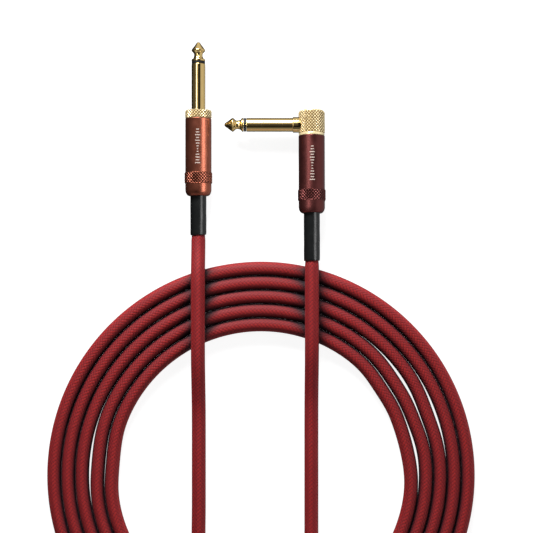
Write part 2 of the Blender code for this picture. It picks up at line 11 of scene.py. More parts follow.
import bpy
import mathutils
import numpy as np
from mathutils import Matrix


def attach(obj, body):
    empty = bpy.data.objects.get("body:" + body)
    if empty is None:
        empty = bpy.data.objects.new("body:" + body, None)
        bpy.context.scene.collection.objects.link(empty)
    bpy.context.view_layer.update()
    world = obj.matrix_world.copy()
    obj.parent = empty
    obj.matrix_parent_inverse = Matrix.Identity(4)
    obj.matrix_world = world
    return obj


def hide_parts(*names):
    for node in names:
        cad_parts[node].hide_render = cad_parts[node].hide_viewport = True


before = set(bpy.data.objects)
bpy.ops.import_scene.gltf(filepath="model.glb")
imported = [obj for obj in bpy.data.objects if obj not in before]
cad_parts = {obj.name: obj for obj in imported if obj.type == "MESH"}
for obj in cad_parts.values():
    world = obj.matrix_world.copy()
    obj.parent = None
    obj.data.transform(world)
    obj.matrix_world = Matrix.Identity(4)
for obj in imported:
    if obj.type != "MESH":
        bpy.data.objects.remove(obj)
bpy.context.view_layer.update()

MM = 0.001

# Where the axes lie: the shoulder's middle in millimetres and the turn about X in degrees
STRAIGHT_SHOULDER = (-26.25, 15.4, 6.45)
STRAIGHT_TURN = -90.0
ANGLED_SHOULDER = (26.25, 7.2706, 6.7225)
ANGLED_TURN = -93.0

# Radii, millimetres
CABLE_R = 3.25
JACKET_R = 3.05
PIN_R = 3.175
SHANK_R = 2.6
SLEEVE_BORE_R = 2.1
ROD_R = 0.9
RIVET_R = 1.6
RING_BORE_R = 1.2
STEP_RING_R = 3.6
BARREL_R = 6.05
BORE_R = 5.15
BAND_R = 6.45
COLLAR_R = 6.15
NECK_R = 5.9
SPIGOT_R = 4.85
CAVITY_R = 3.95
SHANK_HOLE_R = 2.9
FLANGE_R = 3.25
TAIL_HOLE_R = 4.0
SHRINK_IN_R = 3.35
SHRINK_OUT_R = 3.7
SHRINK_LIP_R = 3.13
SHRINK_WAVER = 0.03
TAIL_ROUND_R = 1.9  # how far the barrel's rounded tail draws in, and over what length
TAIL_ROUND_LENGTH = 3.0

# Heights and lengths, millimetres
SEAM = 0.15  # the gap of a joint that is seen
PIN_LENGTH = 31.7
TIP_SHOULDER = 22.8
TIP_RING_BOTTOM = 21.65
SLEEVE_TOP = 21.5
STRAIGHT_SHANK_TOP = -2.0
FLANGE_TOP = -9.9
FLANGE_END = -10.4
STRAIGHT_RIVET_TOP = -12.6
ANGLED_SHANK_END = -5.465
ANGLED_RIVET_TOP = -7.665
RIVET_THICKNESS = 0.5
COLLAR_TOP = 3.7
HEAD_TOP = 11.8
HEAD_WALL = 1.4
NECK_TOP = 1.2
PIN_ABOVE_SHOULDER = 5.2
PIN_FROM_AXIS = 8.75
SPOT_FACE_X = 4.8744
SPIGOT_END = -5.0
BARREL_FRONT = -0.15
BARREL_END = -35.95
BAND_TOP = -24.95
BAND_BOTTOM = -30.25
BORE_END = -32.95
JACKET_TOP = -19.0
SHRINK_TOP = -30.35
SHRINK_END_STRAIGHT = -53.95
SHRINK_END_ANGLED = -57.95

# Knurl and thread, millimetres
KNURL_PITCH = 1.48
KNURL_DEPTH = 0.36
KNURL_STEPS = 8  # rows and columns of points in one diamond
KNURL_FLAT = 0.75  # the share of a diamond's rise at which its top is cut off
THREAD_PITCH = 0.75
THREAD_DEPTH = 0.22
THREAD_FADE = 0.4  # the length over which the thread grows to its depth

ROUND = 96  # facets round a plain turned piece
SHARP = 32.0  # degrees: faces that meet at more than this keep a crisp edge


# ---------------------------------------------------------------- meshes


def build_mesh(name, points, faces, uvs, look, sharp=SHARP):
    """A mesh from points in metres, blocks of faces as corner numbers, and each corner's (u, v)."""
    mesh = bpy.data.meshes.new(name)
    mesh.from_pydata(points.tolist(), [], [face for block in faces for face in block.tolist()])
    layer = mesh.uv_layers.new(name="UVMap")
    layer.data.foreach_set("uv", np.concatenate([uv.reshape(-1) for uv in uvs]).astype(np.float32))
    mesh.materials.append(look)
    mesh.shade_smooth()
    mesh.set_sharp_from_angle(angle=math.radians(sharp))
    made = bpy.data.objects.new(name, mesh)
    bpy.context.scene.collection.objects.link(made)
    return made


def axes(origin, turn_x, side=False):
    """A place for turned pieces: its origin and the three directions, as columns.

    side gives the right-angle pin's axis, which leaves the barrel's at a right angle.
    """
    angle = math.radians(turn_x)
    cos, sin = math.cos(angle), math.sin(angle)
    turned = np.array([[1, 0, 0], [0, cos, -sin], [0, sin, cos]])
    origin = np.array(origin, float)
    if side:
        origin = origin + turned @ np.array([-PIN_FROM_AXIS, 0, PIN_ABOVE_SHOULDER])
        turned = turned @ np.array([[0, 0, -1], [0, 1, 0], [1, 0, 0]])
    return origin, turned


def smooth_step(x):
    """0 below 0, 1 above 1, and a smooth S between."""
    x = np.clip(x, 0.0, 1.0)
    return x * x * (3 - 2 * x)


def rounded(corners, radius=0.15, steps=4):
    """A profile with its corners rounded.

    Each corner gives way to an arc-like curve from a point before it to a point after it, both at
    the radius or at 0.45 of the shorter side. A third number on a corner is its own radius.
    """
    count = len(corners)
    out = []
    for i in range(count):
        here = np.array(corners[i][:2], float)
        own = corners[i][2] if len(corners[i]) > 2 else radius
        before = np.array(corners[i - 1][:2], float)
        after = np.array(corners[(i + 1) % count][:2], float)
        back, on = before - here, after - here
        reach = min(own, 0.45 * np.linalg.norm(back), 0.45 * np.linalg.norm(on))
        if reach < 1e-4:
            out.append(tuple(here))
            continue
        a = here + back / np.linalg.norm(back) * reach
        b = here + on / np.linalg.norm(on) * reach
        for t in np.linspace(0, 1, steps + 1):
            point = (1 - t) ** 2 * a + 2 * t * (1 - t) * here + t**2 * b
            out.append((float(point[0]), float(point[1])))
    return out


def curve_through(points, step=None):
    """Points on the smooth curve through some points, a step apart or four to each stretch.

    A stretch between two points is a cubic that leaves and meets each of them in the direction from
    the point before it to the point after it.
    """
    knots = np.array(points, float)
    padded = np.vstack([2 * knots[0] - knots[1], knots, 2 * knots[-1] - knots[-2]])
    out = []
    for k in range(1, len(padded) - 2):
        p0, p1, p2, p3 = padded[k - 1 : k + 3]
        t = np.arange(0, 1, step / np.linalg.norm(p2 - p1) if step else 0.25)[:, None]
        bend = 2 * p0 - 5 * p1 + 4 * p2 - p3
        out.append((2 * p1 + (p2 - p0) * t + bend * t**2 + (3 * p1 - p0 - 3 * p2 + p3) * t**3) / 2)
    out.append(knots[-1:])
    return np.concatenate(out)


def diamond_relief(heights, facets, top):
    """Relief of a diamond knurl, 0 in its grooves and 1 on its flats, for each row and column.

    The two numbers a and b are the turn counted in diamonds plus and minus the height counted in
    pitches. Each rises from 0 at a whole number to 1 half-way to the next. The relief is the lower
    of the two, cut off at the flat. Also gives whether a is the lower one at each face.
    """
    u = np.arange(facets)[None, :] / facets * (facets // KNURL_STEPS)
    v = (top - heights)[:, None] / KNURL_PITCH

    def rises(u, v):
        return (1 - np.abs(2 * np.mod(x, 1.0) - 1) for x in (u + v, u - v))

    a, b = rises(u, v)
    mid_a, mid_b = rises(u + 0.5 / KNURL_STEPS, (v[1:] + v[:-1]) / 2)
    return np.clip(np.minimum(a, b) / KNURL_FLAT, 0, 1), mid_a < mid_b


def lathe(name, profile, place, look, facets=ROUND, ring=True, relief=None):
    """A surface turned round an axis.

    Each (radius, height) of the profile, in millimetres, goes round in equal steps. ring joins the
    last row to the first, and otherwise a first or last radius of 0 is one point on the axis.
    relief takes radii and heights as arrays and gives the radii by row and column, and for each face
    0 to stay whole or which of its two diagonals splits it. How far a point lies below its profile,
    over the knurl's depth, is kept as the piece's groove attribute.
    """
    profile = np.array(profile, float)
    poles = [not ring and profile[0, 0] == 0, not ring and profile[-1, 0] == 0]
    body = profile[1 if poles[0] else 0 : len(profile) - 1 if poles[1] else len(profile)]
    rows = len(body)
    radii = np.repeat(body[:, :1], facets, axis=1)
    split = np.zeros((rows - 1, facets), int)
    if relief:
        radii, split = relief(body[:, 0], body[:, 1], facets)
    turn = np.arange(facets) / facets * 2 * math.pi
    local = np.stack(
        [radii * np.cos(turn), radii * np.sin(turn), np.repeat(body[:, 1:], facets, axis=1)], axis=-1
    ).reshape(-1, 3)
    along = np.concatenate([[0], np.cumsum(np.hypot(*np.diff(profile, axis=0).T))]) * MM
    body_along = along[1:] if poles[0] else along
    last = rows if ring else rows - 1
    i, j = np.meshgrid(np.arange(last), np.arange(facets), indexing="ij")
    if ring:
        split = np.vstack([split, np.zeros((1, facets), int)])
        body_along = np.append(along, along[-1] + np.hypot(*(profile[0] - profile[-1])) * MM)

    def corner(di, dj):
        number = (i + di) % rows * facets + (j + dj) % facets
        return number, np.stack([(j + dj) / facets, body_along[i + di]], axis=-1)

    c00, c01, c11, c10 = corner(0, 0), corner(0, 1), corner(1, 1), corner(1, 0)
    faces, uvs = [], []
    for which, loops in (
        (0, ((c00, c10, c11, c01),)),
        (1, ((c00, c10, c01), (c10, c11, c01))),
        (2, ((c00, c10, c11), (c00, c11, c01))),
    ):
        chosen = split == which
        for loop in loops:
            faces.append(np.stack([c[0][chosen] for c in loop], axis=-1))
            uvs.append(np.stack([c[1][chosen] for c in loop], axis=1))
    points = [local]
    for end, is_pole in enumerate(poles):
        if not is_pole:
            continue
        number = len(local) + len(points) - 1
        points.append(np.array([[0, 0, profile[-end, 1]]]))
        row = np.arange(facets) + (rows - 1) * facets * end
        after = np.roll(np.arange(facets), -1) + (rows - 1) * facets * end
        tip = np.full(facets, number)
        trio = (tip, row, after) if end == 0 else (row, tip, after)
        faces.append(np.stack(trio, axis=-1))
        across = (np.arange(facets) + 0.5) / facets
        edge = body_along[0 if end == 0 else rows - 1]
        tip_uv = np.stack([across, np.full(facets, along[-end])], axis=-1)
        row_uv = np.stack([np.arange(facets) / facets, np.full(facets, edge)], axis=-1)
        after_uv = row_uv + [1 / facets, 0]
        trio_uv = (tip_uv, row_uv, after_uv) if end == 0 else (row_uv, tip_uv, after_uv)
        uvs.append(np.stack(trio_uv, axis=1))
    origin, directions = place
    world = (origin + np.concatenate(points) @ directions.T) * MM
    made = build_mesh(name, world, faces, uvs, look)
    groove = np.zeros(len(world), np.float32)
    groove[: len(local)] = np.clip((body[:, :1] - radii) / KNURL_DEPTH, 0, 1).ravel()
    made.data.attributes.new("groove", "FLOAT", "POINT").data.foreach_set("value", groove)
    return made


def knurled(band_top, band_bottom, thread_top=None, thread_bottom=None):
    """A relief for lathe: a diamond knurl between two heights, and a screw thread between two others.

    The knurl takes its depth off the radius in the grooves. The thread's radius falls and rises once
    a pitch, and moves on by one pitch in a whole turn.
    """

    def relief(radii, heights, facets):
        out = np.repeat(radii[:, None], facets, axis=1)
        split = np.zeros((len(radii) - 1, facets), int)
        band = (heights <= band_top + 1e-6) & (heights >= band_bottom - 1e-6) & (radii > BARREL_R - 0.2)
        rows = np.flatnonzero(band)
        shape, lower = diamond_relief(heights[rows], facets, band_top)
        out[rows] -= KNURL_DEPTH * (1 - shape)
        split[rows[:-1]] = np.where(lower, 1, 2)
        if thread_top is not None:
            near = np.abs(radii - SPIGOT_R) < 0.02
            rows = np.flatnonzero(near & (heights < thread_top) & (heights > thread_bottom))
            turn = np.arange(facets)[None, :] / facets
            phase = np.mod(heights[rows][:, None] / THREAD_PITCH - turn, 1.0)
            run_in = smooth_step((thread_top - heights[rows]) / THREAD_FADE)
            run_out = smooth_step((heights[rows] - thread_bottom) / THREAD_FADE)
            out[rows] -= THREAD_DEPTH * (run_in * run_out)[:, None] * np.abs(2 * phase - 1) ** 0.8
        return out, split

    return relief


def steps_between(radius, top, bottom, step):
    """Points down a straight side, a step apart, with both ends."""
    count = max(1, round((top - bottom) / step))
    return [(radius, float(z)) for z in np.linspace(top, bottom, count + 1)]


def knurl_rows(radius, top, bottom, chamfer):
    """Rows of a knurled side from top to bottom, a knurl step apart, with its two ends bevelled."""
    step = KNURL_PITCH / KNURL_STEPS
    heights = [top - k * step for k in range(int((top - bottom) / step) + 1)]
    return [(radius - max(0.0, chamfer - (top - z), chamfer - (z - bottom)), z) for z in heights]


def cut(piece, cutter):
    """Takes one piece away from another for good."""
    modifier = piece.modifiers.new("cut", "BOOLEAN")
    modifier.operation = "DIFFERENCE"
    modifier.solver = "EXACT"
    modifier.object = cutter
    bpy.context.view_layer.update()
    depsgraph = bpy.context.evaluated_depsgraph_get()
    mesh = bpy.data.meshes.new_from_object(piece.evaluated_get(depsgraph))
    piece.modifiers.clear()
    piece.data = mesh
    mesh.set_sharp_from_angle(angle=math.radians(SHARP))
    bpy.data.objects.remove(cutter)


# ---------------------------------------------------------------- shader groups


class Nodes:
    """Adds nodes to a node tree, with their inputs linked or set in one call."""

    def __init__(self, tree):
        self.tree = tree

    def put(self, kind, inputs=(), **settings):
        node = self.tree.nodes.new(kind)
        for key, value in settings.items():
            setattr(node, key, value)
        for key, value in dict(inputs).items():
            self.join(value, node.inputs[key])
        return node

    def join(self, value, socket):
        if isinstance(value, bpy.types.NodeSocket):
            self.tree.links.new(value, socket)
        else:
            socket.default_value = value

    def math(self, operation, *values):
        return self.put("ShaderNodeMath", enumerate(values), operation=operation).outputs[0]

    def ramp(self, value, low, high, to_low=0.0, to_high=1.0, smooth=False):
        node = self.put(
            "ShaderNodeMapRange",
            {"Value": value, "From Min": low, "From Max": high, "To Min": to_low, "To Max": to_high},
            interpolation_type="SMOOTHSTEP" if smooth else "LINEAR",
        )
        return node.outputs["Result"]

    def noise(self, vector, scale, detail=2.0, roughness=0.5):
        node = self.put(
            "ShaderNodeTexNoise",
            {"Vector": vector, "Scale": scale, "Detail": detail, "Roughness": roughness},
        )
        return node.outputs["Fac"]

    def stretch(self, vector, factors):
        node = self.put("ShaderNodeVectorMath", {0: vector, 1: factors}, operation="MULTIPLY")
        return node.outputs[0]

    def mix(self, kind, amount, first, second):
        node = self.put("ShaderNodeMix", data_type=kind)
        for label, value in (("Factor", amount), ("A", first), ("B", second)):
            self.join(value, node.inputs[label])
        wanted = "VALUE" if kind == "FLOAT" else kind
        return next(socket for socket in node.outputs if socket.type == wanted)

    def choose(self, amount, first, second):
        """The first value where the amount is 0, and the second where it is 1."""
        return self.mix("FLOAT", amount, first, second)

    def blend(self, amount, first, second):
        """The same with colours, given as three numbers or linked."""
        colours = [(*c, 1.0) if isinstance(c, tuple) else c for c in (first, second)]
        return self.mix("RGBA", amount, *colours)


def new_group(name, inputs, outputs):
    """An empty shader group with its sockets, each a name and a type, and inputs with a start value."""
    tree = bpy.data.node_groups.new(name, "ShaderNodeTree")
    for label, kind, value in inputs:
        socket = tree.interface.new_socket(label, in_out="INPUT", socket_type=kind)
        if value is not None:
            socket.default_value = value
    for label, kind in outputs:
        tree.interface.new_socket(label, in_out="OUTPUT", socket_type=kind)
    start = tree.nodes.new("NodeGroupInput").outputs
    end = tree.nodes.new("NodeGroupOutput").inputs
    return tree, Nodes(tree), start, end


def handling_group():
    """Soft smudges and fine grain, as two values from 0 to 1, by place on the object."""
    tree, n, start, end = new_group(
        "handling_marks",
        [("Vector", "NodeSocketVector", None), ("Grain Scale", "NodeSocketFloat", 4000.0)],
        [("Smudge", "NodeSocketFloat"), ("Grain", "NodeSocketFloat")],
    )
    n.join(n.ramp(n.noise(start["Vector"], 180.0, 3.0, 0.6), 0.35, 0.7), end["Smudge"])
    n.join(n.noise(start["Vector"], start["Grain Scale"], 2.0, 0.6), end["Grain"])
    return tree


def lathe_group():
    """Fine rings left by turning, from 0 to 1: a noise squeezed along the axis and long round it."""
    tree, n, start, end = new_group(
        "turning_rings",
        [("Vector", "NodeSocketVector", None), ("Ring Scale", "NodeSocketFloat", 6000.0)],
        [("Rings", "NodeSocketFloat")],
    )
    long_way = n.stretch(start["Vector"], (0.0015, 1.0, 1.0))
    n.join(n.noise(long_way, start["Ring Scale"], 3.0, 0.7), end["Rings"])
    return tree


def braid_group():
    """A two-over-two braid from the jacket's (turn, length) map: yarn height, direction and fibres.

    Two numbers count the yarns that wind each way: the turn times the yarns in a turn, plus and
    minus the length over the pitch. Where the sum of their whole parts, counted in fours, is below
    two, the first yarn lies on top, and elsewhere the second. A yarn's height is round across it.
    """
    tree, n, start, end = new_group(
        "jacket_braid",
        [
            ("Vector", "NodeSocketVector", None),
            ("Yarns", "NodeSocketFloat", 12.0),
            ("Pitch", "NodeSocketFloat", 0.0018),
        ],
        [("Height", "NodeSocketFloat"), ("Direction", "NodeSocketFloat"), ("Fibre", "NodeSocketFloat")],
    )
    split = n.put("ShaderNodeSeparateXYZ", {0: start["Vector"]})
    turn = n.math("MULTIPLY", split.outputs["X"], start["Yarns"])
    length = n.math("DIVIDE", split.outputs["Y"], start["Pitch"])
    first = n.math("ADD", turn, length)
    second = n.math("SUBTRACT", turn, length)
    total = n.math("ADD", n.math("FLOOR", first), n.math("FLOOR", second))
    quarter = n.math("FRACT", n.math("MULTIPLY", total, 0.25))
    on_top = n.math("LESS_THAN", quarter, 0.4)
    rounds = []
    for yarn in (first, second):
        across = n.math("SUBTRACT", n.math("MULTIPLY", n.math("FRACT", yarn), 2.0), 1.0)
        rounds.append(n.math("SUBTRACT", 1.0, n.math("MULTIPLY", across, across)))
    upper = n.choose(on_top, rounds[1], rounds[0])
    under = n.choose(on_top, rounds[0], rounds[1])
    height = n.math("MULTIPLY", n.math("POWER", upper, 0.5), n.math("POWER", under, 0.18))
    n.join(height, end["Height"])
    n.join(on_top, end["Direction"])
    strands = []
    for yarn, along in ((first, second), (second, first)):
        split_up, long_way = n.math("MULTIPLY", yarn, 7.0), n.math("MULTIPLY", along, 0.9)
        place = n.put("ShaderNodeCombineXYZ", {0: split_up, 1: long_way})
        strands.append(n.noise(place.outputs[0], 1.0, 1.0))
    n.join(n.choose(on_top, strands[1], strands[0]), end["Fibre"])
    return tree


GROUPS = {"handling": handling_group(), "lathe": lathe_group(), "braid": braid_group()}


# ---------------------------------------------------------------- materials


def new_look(name, **values):
    """A material with one Principled shader, its constant values set on its own sockets."""
    look = bpy.data.materials.new(name)
    look.use_nodes = True
    shader = look.node_tree.nodes["Principled BSDF"]
    for key, value in values.items():
        shader.inputs[key.replace("_", " ")].default_value = value
    return look, Nodes(look.node_tree), shader


def use_group(n, key, **inputs):
    """One of the shared groups, with its inputs joined."""
    node = n.put("ShaderNodeGroup", node_tree=GROUPS[key])
    for label, value in inputs.items():
        n.join(value, node.inputs[label.replace("_", " ")])
    return node.outputs


def object_place(n):
    return n.put("ShaderNodeTexCoord").outputs["Object"]


def surface_map(n):
    return n.put("ShaderNodeUVMap", uv_map="UVMap").outputs["UV"]


def add_bump(n, shader, height, strength, distance):
    bump = n.put("ShaderNodeBump", {"Height": height, "Strength": strength, "Distance": distance})
    n.join(bump.outputs["Normal"], shader.inputs["Normal"])


def mottled_look(name, colours, roughness, metallic=0.0, grain=3000.0, **values):
    """A material of two near colours that change with the grain and the smudges."""
    look, n, shader = new_look(name, Metallic=metallic, **values)
    marks = use_group(n, "handling", Vector=object_place(n), Grain_Scale=grain)
    n.join(n.blend(marks["Grain"], *colours), shader.inputs["Base Color"])
    n.join(n.ramp(marks["Smudge"], 0.0, 1.0, *roughness), shader.inputs["Roughness"])
    add_bump(n, shader, marks["Grain"], 0.3, 0.00001)
    return look


def turned_metal(name, colours, low, roughness, ring_scale, ring_bump, grain_bump, metallic=1.0):
    """Metal finished on a lathe: rings round the axis in the bump and the gloss, and smudges over them.

    Where the piece's groove attribute is high, the colour goes towards the low one: painted shade in the
    knurl's grooves.
    """
    look, n, shader = new_look(name, Metallic=metallic)
    marks = use_group(n, "handling", Vector=object_place(n), Grain_Scale=5000.0)
    rings = use_group(n, "lathe", Vector=surface_map(n), Ring_Scale=ring_scale)["Rings"]
    tone = n.math("ADD", n.math("MULTIPLY", rings, 0.6), n.math("MULTIPLY", marks["Smudge"], 0.4))
    groove = n.put("ShaderNodeAttribute", attribute_name="groove").outputs["Fac"]
    # Painted shade: the colour in the knurl's grooves goes towards the darker low colour.
    groove_shading = n.ramp(groove, 0.2, 0.8, 0.0, 0.9)
    n.join(n.blend(groove_shading, n.blend(tone, *colours), low), shader.inputs["Base Color"])
    gloss = n.math("ADD", n.math("MULTIPLY", rings, 0.35), n.math("MULTIPLY", marks["Smudge"], 0.65))
    n.join(n.ramp(gloss, 0.2, 0.8, *roughness), shader.inputs["Roughness"])
    ring_height = n.math("MULTIPLY", rings, ring_bump)
    grain_height = n.math("MULTIPLY", marks["Grain"], grain_bump)
    add_bump(n, shader, n.math("ADD", ring_height, grain_height), 0.5, 0.00002)
    return look


# The jacket's colours: the two yarn directions, each a dark and a light red, the second one darker as
# painted sheen; then what darkens them: wear, the gaps between yarns, and painted shade between turns
YARN_WITH_PAINTED_SHEEN = ((0.22, 0.009, 0.012), (0.54, 0.03, 0.027))
YARN_WITHOUT_PAINTED_SHEEN = ((0.16, 0.007, 0.01), (0.41, 0.021, 0.022))
WORN_YARN = (0.26, 0.016, 0.024)
BETWEEN_YARNS = (0.11, 0.008, 0.013)
# The next colour is painted shade: the near black that the jacket goes to in the creases between
# neighbouring turns. The distance after it is how far that shade reaches.
PAINTED_CREASE_SHADE = (0.012, 0.003, 0.007)
CREASE_SHADE_REACH = 0.008  # metres: how near a neighbouring turn has to be to darken the jacket


def jacket_look():
    """Woven red jacket: two yarn directions in slightly different reds, dark between the yarns.

    The second yarn direction's darker red is painted sheen, standing in for the sheen that yarns running one
    way catch. It is darker where neighbouring turns shut it in: painted shade in the creases between turns.
    """
    look, n, shader = new_look(
        "woven_red_jacket", Roughness=0.6, Sheen_Weight=0.17, Sheen_Roughness=0.22,
        Sheen_Tint=(0.85, 0.5, 0.55, 1.0), Specular_IOR_Level=0.3,
    )
    braid = use_group(n, "braid", Vector=surface_map(n))
    marks = use_group(n, "handling", Vector=object_place(n), Grain_Scale=2500.0)
    one_way = n.blend(braid["Fibre"], *YARN_WITH_PAINTED_SHEEN)
    other_way = n.blend(braid["Fibre"], *YARN_WITHOUT_PAINTED_SHEEN)
    # Painted sheen: one yarn direction is given brighter reds than the other.
    yarn = n.blend(braid["Direction"], one_way, other_way)
    worn = n.blend(n.math("MULTIPLY", marks["Smudge"], 0.22), yarn, WORN_YARN)
    woven = n.blend(n.ramp(braid["Height"], 0.15, 0.8, smooth=True), BETWEEN_YARNS, worn)
    # Painted shade: where neighbouring turns lie within that reach, an ambient-occlusion reading darkens the
    # colour towards near black.
    crease_occlusion = n.put("ShaderNodeAmbientOcclusion", {"Distance": CREASE_SHADE_REACH}, only_local=True, samples=12)
    clear = n.ramp(crease_occlusion.outputs["AO"], 0.46, 1.0, smooth=True)
    n.join(n.blend(clear, PAINTED_CREASE_SHADE, woven), shader.inputs["Base Color"])
    relief = n.math("ADD", braid["Height"], n.math("MULTIPLY", braid["Fibre"], 0.25))
    add_bump(n, shader, relief, 0.75, 0.0002)
    return look


def shrink_look():
    """Black heat-shrink: satin, with long shallow creases and a fine skin."""
    look, n, shader = new_look("black_heat_shrink", Specular_IOR_Level=0.36)
    marks = use_group(n, "handling", Vector=object_place(n), Grain_Scale=3500.0)
    creases = n.noise(n.stretch(surface_map(n), (14.0, 60.0, 1.0)), 1.0, 3.0, 0.6)
    black = n.blend(marks["Grain"], (0.003, 0.0032, 0.0035), (0.009, 0.01, 0.01))
    n.join(black, shader.inputs["Base Color"])
    n.join(n.ramp(marks["Smudge"], 0.0, 1.0, 0.28, 0.37), shader.inputs["Roughness"])
    height = n.math("ADD", creases, n.math("MULTIPLY", marks["Grain"], 0.08))
    add_bump(n, shader, height, 0.5, 0.0001)
    return look


# A dark and a light colour of each finish
GOLD = ((0.80, 0.55, 0.20), (0.90, 0.66, 0.29))
PALE_GOLD = ((0.92, 0.74, 0.38), (1.0, 0.87, 0.56))
COPPER = ((0.29, 0.085, 0.05), (0.37, 0.115, 0.07))
MAROON = ((0.13, 0.036, 0.034), (0.185, 0.052, 0.047))
PALE_MARK = ((0.55, 0.42, 0.36), (0.72, 0.6, 0.53))
BLACK = ((0.004, 0.004, 0.0045), (0.01, 0.01, 0.011))
IVORY = ((0.62, 0.57, 0.45), (0.74, 0.7, 0.6))
TIN = ((0.5, 0.48, 0.43), (0.66, 0.64, 0.6))
SOLDER = ((0.5, 0.51, 0.53), (0.66, 0.67, 0.7))
BARE_COPPER = ((0.62, 0.27, 0.15), (0.8, 0.42, 0.27))
GREY_FILM = ((0.05, 0.05, 0.055), (0.12, 0.12, 0.13))
ANODISED = {"ring_scale": 14000.0, "ring_bump": 0.12, "grain_bump": 0.28, "metallic": 0.94}
# Each turned metal's third colour is the painted shade that its knurl's grooves go towards.
LOOKS = {
    "gold": turned_metal("polished_gold", GOLD, (0.30, 0.17, 0.04), (0.05, 0.11), 9000.0, 0.1, 0.02),
    "gold_knurl": turned_metal(
        "knurled_gold", PALE_GOLD, (0.2, 0.1, 0.02), (0.2, 0.3), 9000.0, 0.04, 0.02, metallic=0.5
    ),
    "copper_barrel": turned_metal("copper_anodised", COPPER, (0.05, 0.012, 0.008), (0.33, 0.41), **ANODISED),
    "maroon_barrel": turned_metal("maroon_anodised", MAROON, (0.03, 0.008, 0.008), (0.35, 0.44), **ANODISED),
    "mark": mottled_look("etched_mark", PALE_MARK, (0.5, 0.65), 0.2),
    "black_plastic": mottled_look("black_insulator", BLACK, (0.42, 0.55), Specular_IOR_Level=0.25),
    "ivory_plastic": mottled_look("ivory_insulator", IVORY, (0.4, 0.55)),
    "tinned_brass": mottled_look("tinned_brass", TIN, (0.28, 0.42), 1.0),
    "solder": mottled_look("solder", SOLDER, (0.2, 0.36), 1.0),
    "bare_copper": mottled_look("bare_copper", BARE_COPPER, (0.25, 0.4), 1.0, 6000.0),
    "liner_film": mottled_look("liner_film", GREY_FILM, (0.4, 0.5)),
    "heat_shrink": shrink_look(),
    "cable_jacket": jacket_look(),
}


# ---------------------------------------------------------------- plug pieces


def finish(piece, body, slot, *nodes):
    """Puts a piece on its body and hides the CAD nodes that it takes the place of."""
    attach(piece, body)
    if nodes:
        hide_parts(*nodes)


def tip_outline():
    """The tip's outline from its point back, as a smooth curve.

    Its knots are distances from the point and radii, in millimetres: a cone with a blunt point, the
    rounded shoulder that a jack's spring holds, the neck, and the foot on the insulating ring.
    """
    knots = [
        (0.0, 0.0), (0.08, 0.42), (0.35, 0.8), (1.35, 1.47), (2.6, 2.42), (3.45, 3.02),
        (3.85, 3.175), (4.2, 3.07), (4.65, 2.68), (5.2, 2.2), (5.75, 1.99), (6.4, 2.0),
        (7.1, 2.16), (7.6, 2.42), (7.85, 2.7), (7.98, 3.0), (8.15, 3.13), (8.4, 3.16),
        (8.75, 3.16), (8.9, 3.08),
    ]
    return [(max(0.0, float(r)), PIN_LENGTH - float(d)) for d, r in curve_through(knots)]


def make_pin(prefix, place, rivet_top, sleeve_rear):
    """Tip with its rod, insulating ring and sleeve of one plug."""
    rivet_end = rivet_top - RIVET_THICKNESS
    rod = [(ROD_R, TIP_SHOULDER), (ROD_R, rivet_top)]
    rear = [*rod, (RIVET_R, rivet_top), (RIVET_R, rivet_end), (0.0, rivet_end)]
    tip = lathe(f"{prefix}_tip_turned", tip_outline() + rear, place, LOOKS["gold"], ring=False)
    finish(tip, "cable", "gold_plate", f"{prefix}_tip_contact")

    top, bottom, outer = TIP_SHOULDER - SEAM, TIP_RING_BOTTOM, PIN_R - 0.06
    ring = rounded([(RING_BORE_R, top), (outer, top), (outer, bottom), (RING_BORE_R, bottom)], 0.08)
    made = lathe(f"{prefix}_tip_ring_turned", ring, place, LOOKS["black_plastic"])
    finish(made, "cable", "black_plastic", f"{prefix}_tip_ring")

    sleeve = rounded([(SLEEVE_BORE_R, SLEEVE_TOP), (PIN_R, SLEEVE_TOP, 0.22), *sleeve_rear], 0.1)
    made = lathe(f"{prefix}_sleeve_turned", sleeve, place, LOOKS["gold"])
    finish(made, "cable", "gold_plate", f"{prefix}_sleeve")


def knurl_facets(radius):
    """Facets round a knurled piece: a whole number of diamonds about a pitch wide."""
    return round(2 * math.pi * radius / KNURL_PITCH) * KNURL_STEPS


def thread_side(hole_r):
    """The spigot's side, with rows close enough for its thread, and its bored end."""
    return [
        (SPIGOT_R, 0.0),
        *steps_between(SPIGOT_R, -0.1, SPIGOT_END + 0.3, 0.09),
        (SPIGOT_R - 0.3, SPIGOT_END),
        (hole_r, SPIGOT_END),
    ]


def make_collar(place):
    """Knurled collar of the straight plug, with its threaded spigot."""
    step = COLLAR_TOP + STRAIGHT_SHANK_TOP - SEAM
    profile = [
        (PIN_R + SEAM, COLLAR_TOP - 0.1),
        (PIN_R + SEAM + 0.1, COLLAR_TOP),
        (COLLAR_R - 0.45, COLLAR_TOP),
        *knurl_rows(COLLAR_R, COLLAR_TOP - 0.08, 0.02, 0.3),
        (COLLAR_R - 0.4, 0.0),
        *thread_side(SHANK_HOLE_R),
        (SHANK_HOLE_R, step),
        (PIN_R + SEAM, step),
    ]
    relief = knurled(COLLAR_TOP - 0.08, 0.02, 0.0, SPIGOT_END + 0.2)
    facets = knurl_facets(COLLAR_R)
    collar = lathe("straight_collar_knurled", profile, place, LOOKS["gold_knurl"], facets, relief=relief)
    finish(collar, "cable", "gold_plate", "straight_collar")


